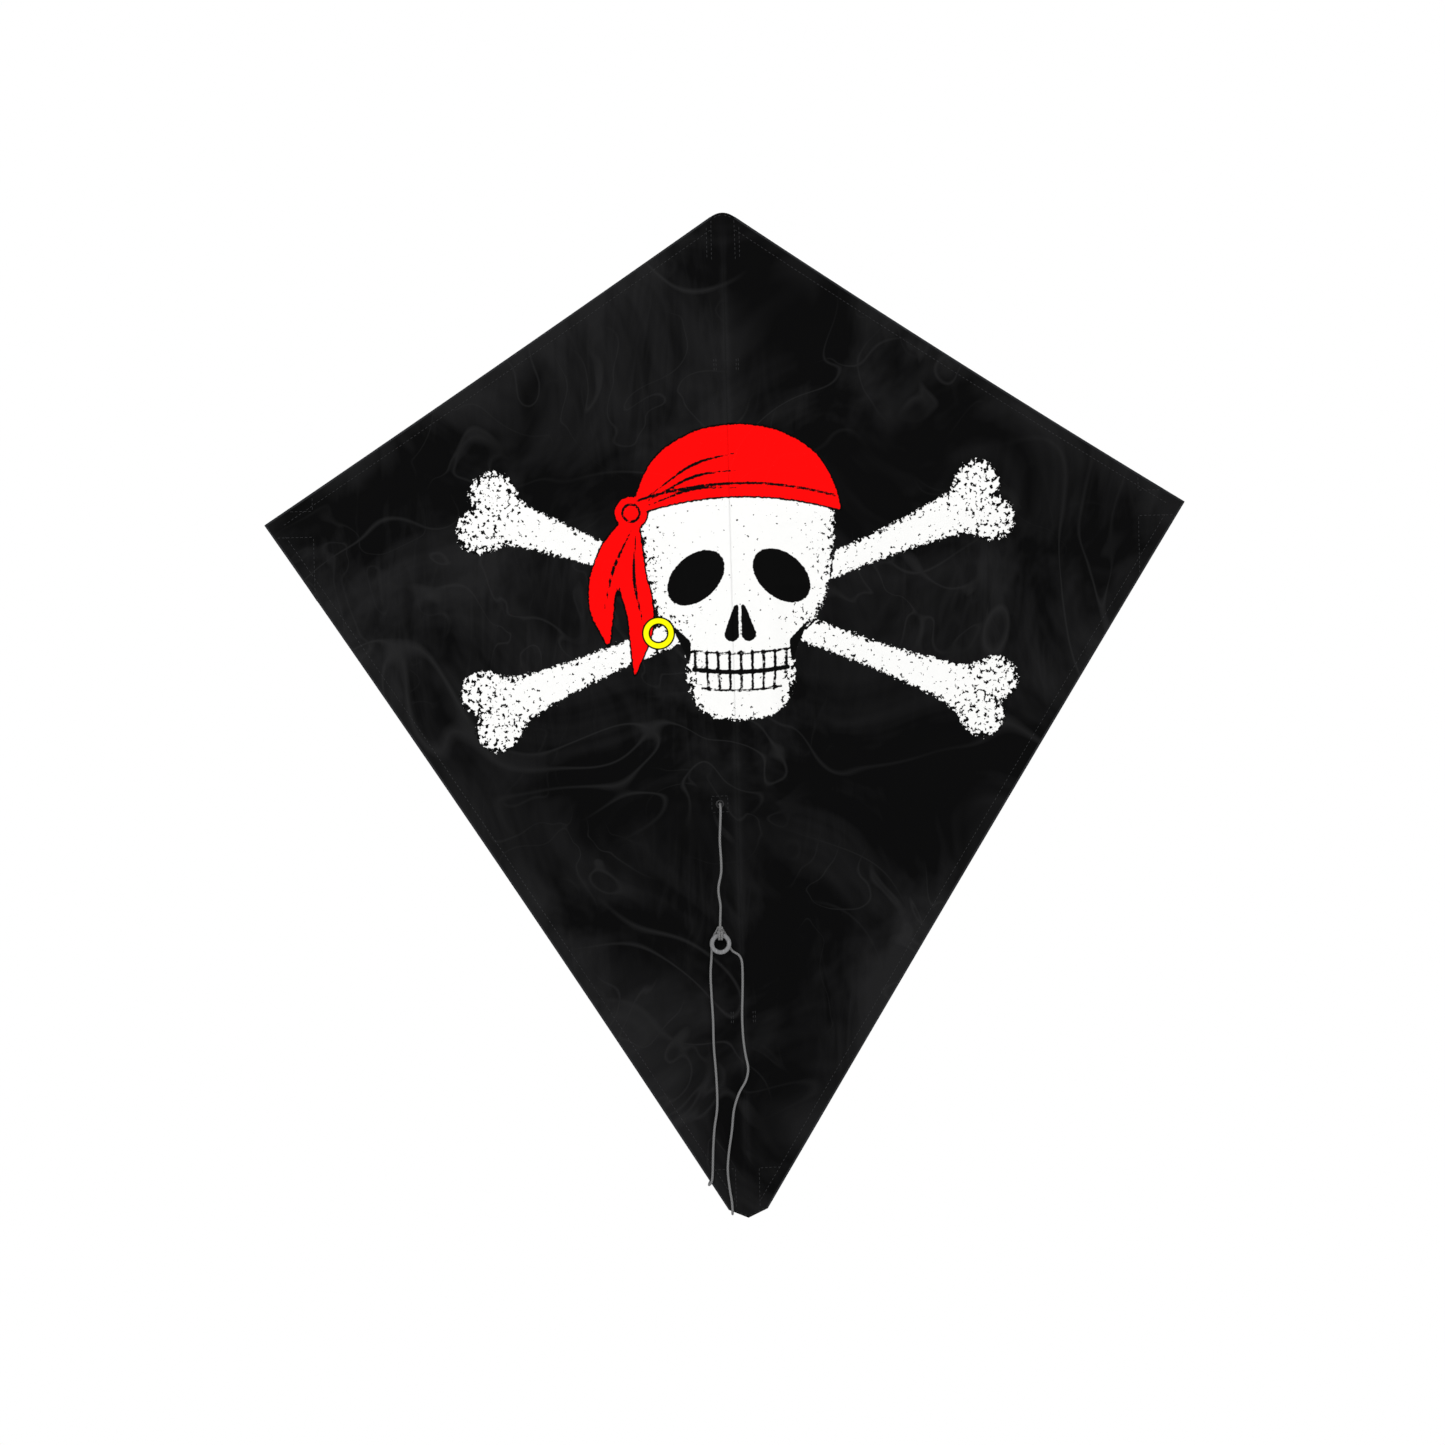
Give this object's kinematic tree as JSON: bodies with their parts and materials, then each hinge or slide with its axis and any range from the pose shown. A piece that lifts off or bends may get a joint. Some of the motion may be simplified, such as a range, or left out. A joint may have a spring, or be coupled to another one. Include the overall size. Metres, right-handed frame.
{
  "type": "diamond kite",
  "caption": "Flat diamond kite: a printed cloth sail on a spine and cross spar that fold at a rubber hub, with a bridle line and a tow ring on its front.",
  "frame": {"origin": "centre of the flat pad on the back of the rubber hub, behind the crossing of spine and spars", "axes": "+Z along the spine towards the nose, +X to the right as the printed front is seen, +Y out of the back; the printed front faces -Y"},
  "size_m": [0.643, 0.0173, 0.703],
  "materials": {
    "sail_cloth": "thin woven polyester, printed",
    "tape": "folded and sewn cloth tape",
    "rod": "pultruded glass fibre",
    "vinyl": "soft vinyl",
    "rubber": "moulded, satin",
    "line": "braided polyester line",
    "ring": "moulded, matte",
    "eyelet": "black, satin"
  },
  "bodies": {
    "root": {"spine": "rod", "nose_cap": "vinyl", "tail_cap": "vinyl", "hub": "rubber", "upper_collar": "vinyl", "lower_collar": "vinyl", "sail_centre": "sail_cloth", "nose_pocket": "tape", "tail_pocket": "tape", "upper_keeper": "tape", "lower_keeper": "tape", "tail_tab": "tape", "bridle_patch": "tape", "bridle_eyelet": "eyelet", "eyelet_washer": "eyelet", "spine_hitch": "line", "tail_hitch": "line", "lower_leg_left": "line", "lower_leg_right": "line"},
    "left_wing": {"left_sail": "sail_cloth", "left_spar": "rod", "left_arm": "rubber", "left_tip_cap": "vinyl", "left_tip_pocket": "tape", "left_leading_hem": "tape", "left_trailing_hem": "tape"},
    "right_wing": {"right_sail": "sail_cloth", "right_spar": "rod", "right_arm": "rubber", "right_tip_cap": "vinyl", "right_tip_pocket": "tape", "right_leading_hem": "tape", "right_trailing_hem": "tape"},
    "bridle": {"upper_leg": "line", "ring_hitch": "line"},
    "ring": {"tow_ring": "ring"}
  },
  "joints": [
    {"name": "left_wing_fold", "type": "hinge", "parent": "root", "child": "left_wing", "pos_m": [-0.017, -0.005, 0], "axis": [-0.0213, 0, -0.9998], "range_deg": [0, 85], "stiffness_Nm_per_rad": 0.02},
    {"name": "right_wing_fold", "type": "hinge", "parent": "root", "child": "right_wing", "pos_m": [0.017, -0.005, 0], "axis": [-0.0213, 0, 0.9998], "range_deg": [0, 85], "stiffness_Nm_per_rad": 0.02},
    {"name": "bridle_swing", "type": "hinge", "parent": "root", "child": "bridle", "pos_m": [-0.0125, -0.0103, -0.2025], "axis": [-1, 0, 0], "range_deg": [0, 12]},
    {"name": "ring_tilt", "type": "hinge", "parent": "bridle", "child": "ring", "pos_m": [-0.015, -0.0136, -0.294], "axis": [-1, 0, 0], "range_deg": [0, 90]}
  ]
}
